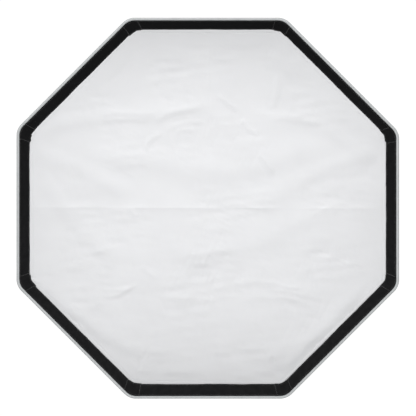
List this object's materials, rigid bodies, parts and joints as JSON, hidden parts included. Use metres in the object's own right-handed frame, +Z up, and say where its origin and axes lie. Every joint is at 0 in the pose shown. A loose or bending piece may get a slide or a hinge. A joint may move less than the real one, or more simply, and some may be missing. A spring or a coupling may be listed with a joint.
{
  "type": "octagonal softbox",
  "caption": "Folding octagonal softbox with a white front diffuser, black taped lip, silver-lined black canopy on hinged ribs, and a rotating bayonet speedring.",
  "frame": {"origin": "centre of the seat on the bayonet ring, the face that meets the lamp head", "axes": "+Z up, -Y the way the light leaves (the diffuser's side), +Y towards the lamp head, +X to the right seen from the front"},
  "size_m": [0.95, 0.3669, 0.95],
  "materials": {
    "bayonet_alloy": "bead-blasted natural aluminium",
    "speedring_black": "black anodised, satin",
    "fastener_steel": "zinc-plated steel",
    "rod_steel": "drawn spring steel rod, dull",
    "rib_plastic": "moulded black nylon",
    "knob_plastic": "fine-grained black plastic knob on a steel thread",
    "canopy_cloth": "black coated nylon, plain weave, faint sheen",
    "lining_cloth": "silver-coated cloth, softly creased",
    "lip_tape": "black loop tape, short matt pile",
    "piping_cloth": "pale grey woven piping",
    "diffuser_cloth": "white translucent diffusion nylon",
    "hem_tape": "white hook tape"
  },
  "bodies": {
    "mount": {"bayonet_ring": "bayonet_alloy"},
    "hub": {"speedring_body": "speedring_black", "retainer_ring": "speedring_black", "retainer_screws": "fastener_steel", "rib_pivot_pins": "fastener_steel", "rear_cuff": "canopy_cloth"},
    "thumb_screw_1": {"thumb_screw_1": "knob_plastic"},
    "thumb_screw_2": {"thumb_screw_2": "knob_plastic"},
    "front_diffuser": {"front_diffuser": "diffuser_cloth", "front_diffuser_hem": "hem_tape"},
    "inner_diffuser": {"inner_diffuser": "diffuser_cloth", "inner_diffuser_tabs": "hem_tape"},
    "rib_1": {"rib_rod_1": "rod_steel", "rib_socket_1": "rib_plastic"},
    "rib_2": {"rib_rod_2": "rod_steel", "rib_socket_2": "rib_plastic"},
    "rib_3": {"rib_rod_3": "rod_steel", "rib_socket_3": "rib_plastic"},
    "rib_4": {"rib_rod_4": "rod_steel", "rib_socket_4": "rib_plastic"},
    "rib_5": {"rib_rod_5": "rod_steel", "rib_socket_5": "rib_plastic"},
    "rib_6": {"rib_rod_6": "rod_steel", "rib_socket_6": "rib_plastic"},
    "rib_7": {"rib_rod_7": "rod_steel", "rib_socket_7": "rib_plastic"},
    "rib_8": {"rib_rod_8": "rod_steel", "rib_socket_8": "rib_plastic"},
    "pleat_1_cw": {"canopy_1_cw": "canopy_cloth", "lip_1_cw": "lip_tape"},
    "pleat_1_ccw": {"canopy_1_ccw": "canopy_cloth", "lip_1_ccw": "lip_tape"},
    "pleat_2_cw": {"canopy_2_cw": "canopy_cloth", "lip_2_cw": "lip_tape"},
    "pleat_2_ccw": {"canopy_2_ccw": "canopy_cloth", "lip_2_ccw": "lip_tape"},
    "pleat_3_cw": {"canopy_3_cw": "canopy_cloth", "lip_3_cw": "lip_tape"},
    "pleat_3_ccw": {"canopy_3_ccw": "canopy_cloth", "lip_3_ccw": "lip_tape"},
    "pleat_4_cw": {"canopy_4_cw": "canopy_cloth", "lip_4_cw": "lip_tape"},
    "pleat_4_ccw": {"canopy_4_ccw": "canopy_cloth", "lip_4_ccw": "lip_tape"},
    "pleat_5_cw": {"canopy_5_cw": "canopy_cloth", "lip_5_cw": "lip_tape"},
    "pleat_5_ccw": {"canopy_5_ccw": "canopy_cloth", "lip_5_ccw": "lip_tape"},
    "pleat_6_cw": {"canopy_6_cw": "canopy_cloth", "lip_6_cw": "lip_tape"},
    "pleat_6_ccw": {"canopy_6_ccw": "canopy_cloth", "lip_6_ccw": "lip_tape"},
    "pleat_7_cw": {"canopy_7_cw": "canopy_cloth", "lip_7_cw": "lip_tape"},
    "pleat_7_ccw": {"canopy_7_ccw": "canopy_cloth", "lip_7_ccw": "lip_tape"},
    "pleat_8_cw": {"canopy_8_cw": "canopy_cloth", "lip_8_cw": "lip_tape"},
    "pleat_8_ccw": {"canopy_8_ccw": "canopy_cloth", "lip_8_ccw": "lip_tape"}
  },
  "joints": [
    {"name": "hub_turn", "type": "hinge", "parent": "mount", "child": "hub", "pos_m": [0, 0, 0], "axis": [0, 1, 0], "continuous": true},
    {"name": "thumb_screw_1_turn", "type": "hinge", "parent": "hub", "child": "thumb_screw_1", "pos_m": [0.1, -0.0056, 0], "axis": [1, 0, 0], "range_deg": [0, 360]},
    {"name": "thumb_screw_2_turn", "type": "hinge", "parent": "hub", "child": "thumb_screw_2", "pos_m": [-0.1, -0.0056, 0], "axis": [-1, 0, 0], "range_deg": [0, 360]},
    {"name": "frame_fold", "type": "hinge", "parent": "hub", "child": "rib_1", "pos_m": [0.07391, -0.015, 0.03061], "axis": [0.3827, 0, -0.9239], "range_deg": [0, 50]},
    {"name": "rib_2_fold", "type": "hinge", "parent": "hub", "child": "rib_2", "pos_m": [0.03061, -0.015, 0.07391], "axis": [0.9239, 0, -0.3827], "range_deg": [0, 50]},
    {"name": "rib_3_fold", "type": "hinge", "parent": "hub", "child": "rib_3", "pos_m": [-0.03061, -0.015, 0.07391], "axis": [0.9239, 0, 0.3827], "range_deg": [0, 50]},
    {"name": "rib_4_fold", "type": "hinge", "parent": "hub", "child": "rib_4", "pos_m": [-0.07391, -0.015, 0.03061], "axis": [0.3827, 0, 0.9239], "range_deg": [0, 50]},
    {"name": "rib_5_fold", "type": "hinge", "parent": "hub", "child": "rib_5", "pos_m": [-0.07391, -0.015, -0.03061], "axis": [-0.3827, 0, 0.9239], "range_deg": [0, 50]},
    {"name": "rib_6_fold", "type": "hinge", "parent": "hub", "child": "rib_6", "pos_m": [-0.03061, -0.015, -0.07391], "axis": [-0.9239, 0, 0.3827], "range_deg": [0, 50]},
    {"name": "rib_7_fold", "type": "hinge", "parent": "hub", "child": "rib_7", "pos_m": [0.03061, -0.015, -0.07391], "axis": [-0.9239, 0, -0.3827], "range_deg": [0, 50]},
    {"name": "rib_8_fold", "type": "hinge", "parent": "hub", "child": "rib_8", "pos_m": [0.07391, -0.015, -0.03061], "axis": [-0.3827, 0, -0.9239], "range_deg": [0, 50]},
    {"name": "pleat_1_cw_fold", "type": "hinge", "parent": "rib_1", "child": "pleat_1_cw", "pos_m": [0.07852, -0.00875, 0.03252], "axis": [0.7223, -0.6236, 0.2992], "range_deg": [0, 70.6], "deforming": ["canopy_1_cw", "lip_1_cw"]},
    {"name": "pleat_1_ccw_fold", "type": "hinge", "parent": "rib_1", "child": "pleat_1_ccw", "pos_m": [0.07852, -0.00875, 0.03252], "axis": [-0.7223, 0.6236, -0.2992], "range_deg": [0, 70.6], "deforming": ["canopy_1_ccw", "lip_1_ccw"]},
    {"name": "pleat_2_cw_fold", "type": "hinge", "parent": "rib_2", "child": "pleat_2_cw", "pos_m": [0.03252, -0.00875, 0.07852], "axis": [0.2992, -0.6236, 0.7223], "range_deg": [0, 70.6], "deforming": ["canopy_2_cw", "lip_2_cw"]},
    {"name": "pleat_2_ccw_fold", "type": "hinge", "parent": "rib_2", "child": "pleat_2_ccw", "pos_m": [0.03252, -0.00875, 0.07852], "axis": [-0.2992, 0.6236, -0.7223], "range_deg": [0, 70.6], "deforming": ["canopy_2_ccw", "lip_2_ccw"]},
    {"name": "pleat_3_cw_fold", "type": "hinge", "parent": "rib_3", "child": "pleat_3_cw", "pos_m": [-0.03252, -0.00875, 0.07852], "axis": [-0.2992, -0.6236, 0.7223], "range_deg": [0, 70.6], "deforming": ["canopy_3_cw", "lip_3_cw"]},
    {"name": "pleat_3_ccw_fold", "type": "hinge", "parent": "rib_3", "child": "pleat_3_ccw", "pos_m": [-0.03252, -0.00875, 0.07852], "axis": [0.2992, 0.6236, -0.7223], "range_deg": [0, 70.6], "deforming": ["canopy_3_ccw", "lip_3_ccw"]},
    {"name": "pleat_4_cw_fold", "type": "hinge", "parent": "rib_4", "child": "pleat_4_cw", "pos_m": [-0.07852, -0.00875, 0.03252], "axis": [-0.7223, -0.6236, 0.2992], "range_deg": [0, 70.6], "deforming": ["canopy_4_cw", "lip_4_cw"]},
    {"name": "pleat_4_ccw_fold", "type": "hinge", "parent": "rib_4", "child": "pleat_4_ccw", "pos_m": [-0.07852, -0.00875, 0.03252], "axis": [0.7223, 0.6236, -0.2992], "range_deg": [0, 70.6], "deforming": ["canopy_4_ccw", "lip_4_ccw"]},
    {"name": "pleat_5_cw_fold", "type": "hinge", "parent": "rib_5", "child": "pleat_5_cw", "pos_m": [-0.07852, -0.00875, -0.03252], "axis": [-0.7223, -0.6236, -0.2992], "range_deg": [0, 70.6], "deforming": ["canopy_5_cw", "lip_5_cw"]},
    {"name": "pleat_5_ccw_fold", "type": "hinge", "parent": "rib_5", "child": "pleat_5_ccw", "pos_m": [-0.07852, -0.00875, -0.03252], "axis": [0.7223, 0.6236, 0.2992], "range_deg": [0, 70.6], "deforming": ["canopy_5_ccw", "lip_5_ccw"]},
    {"name": "pleat_6_cw_fold", "type": "hinge", "parent": "rib_6", "child": "pleat_6_cw", "pos_m": [-0.03252, -0.00875, -0.07852], "axis": [-0.2992, -0.6236, -0.7223], "range_deg": [0, 70.6], "deforming": ["canopy_6_cw", "lip_6_cw"]},
    {"name": "pleat_6_ccw_fold", "type": "hinge", "parent": "rib_6", "child": "pleat_6_ccw", "pos_m": [-0.03252, -0.00875, -0.07852], "axis": [0.2992, 0.6236, 0.7223], "range_deg": [0, 70.6], "deforming": ["canopy_6_ccw", "lip_6_ccw"]},
    {"name": "pleat_7_cw_fold", "type": "hinge", "parent": "rib_7", "child": "pleat_7_cw", "pos_m": [0.03252, -0.00875, -0.07852], "axis": [0.2992, -0.6236, -0.7223], "range_deg": [0, 70.6], "deforming": ["canopy_7_cw", "lip_7_cw"]},
    {"name": "pleat_7_ccw_fold", "type": "hinge", "parent": "rib_7", "child": "pleat_7_ccw", "pos_m": [0.03252, -0.00875, -0.07852], "axis": [-0.2992, 0.6236, 0.7223], "range_deg": [0, 70.6], "deforming": ["canopy_7_ccw", "lip_7_ccw"]},
    {"name": "pleat_8_cw_fold", "type": "hinge", "parent": "rib_8", "child": "pleat_8_cw", "pos_m": [0.07852, -0.00875, -0.03252], "axis": [0.7223, -0.6236, -0.2992], "range_deg": [0, 70.6], "deforming": ["canopy_8_cw", "lip_8_cw"]},
    {"name": "pleat_8_ccw_fold", "type": "hinge", "parent": "rib_8", "child": "pleat_8_ccw", "pos_m": [0.07852, -0.00875, -0.03252], "axis": [-0.7223, 0.6236, 0.2992], "range_deg": [0, 70.6], "deforming": ["canopy_8_ccw", "lip_8_ccw"]},
    {"name": "front_diffuser_off", "type": "slide", "parent": "hub", "child": "front_diffuser", "axis": [0, -1, 0], "range_m": [0, 0.62]},
    {"name": "inner_diffuser_off", "type": "slide", "parent": "hub", "child": "inner_diffuser", "axis": [0, -1, 0], "range_m": [0, 0.62]}
  ],
  "couplings": [
    {"joint": "rib_2_fold", "follows": "frame_fold", "ratio": 1},
    {"joint": "rib_3_fold", "follows": "frame_fold", "ratio": 1},
    {"joint": "rib_4_fold", "follows": "frame_fold", "ratio": 1},
    {"joint": "rib_5_fold", "follows": "frame_fold", "ratio": 1},
    {"joint": "rib_6_fold", "follows": "frame_fold", "ratio": 1},
    {"joint": "rib_7_fold", "follows": "frame_fold", "ratio": 1},
    {"joint": "rib_8_fold", "follows": "frame_fold", "ratio": 1},
    {"joint": "pleat_1_cw_fold", "follows": "frame_fold", "ratio": 1.402},
    {"joint": "pleat_1_ccw_fold", "follows": "frame_fold", "ratio": 1.402},
    {"joint": "pleat_2_cw_fold", "follows": "frame_fold", "ratio": 1.402},
    {"joint": "pleat_2_ccw_fold", "follows": "frame_fold", "ratio": 1.402},
    {"joint": "pleat_3_cw_fold", "follows": "frame_fold", "ratio": 1.402},
    {"joint": "pleat_3_ccw_fold", "follows": "frame_fold", "ratio": 1.402},
    {"joint": "pleat_4_cw_fold", "follows": "frame_fold", "ratio": 1.402},
    {"joint": "pleat_4_ccw_fold", "follows": "frame_fold", "ratio": 1.402},
    {"joint": "pleat_5_cw_fold", "follows": "frame_fold", "ratio": 1.402},
    {"joint": "pleat_5_ccw_fold", "follows": "frame_fold", "ratio": 1.402},
    {"joint": "pleat_6_cw_fold", "follows": "frame_fold", "ratio": 1.402},
    {"joint": "pleat_6_ccw_fold", "follows": "frame_fold", "ratio": 1.402},
    {"joint": "pleat_7_cw_fold", "follows": "frame_fold", "ratio": 1.402},
    {"joint": "pleat_7_ccw_fold", "follows": "frame_fold", "ratio": 1.402},
    {"joint": "pleat_8_cw_fold", "follows": "frame_fold", "ratio": 1.402},
    {"joint": "pleat_8_ccw_fold", "follows": "frame_fold", "ratio": 1.402},
    {"joint": "front_diffuser_off", "follows": "frame_fold", "m_per_rad": 0.7},
    {"joint": "inner_diffuser_off", "follows": "frame_fold", "m_per_rad": 0.7}
  ]
}
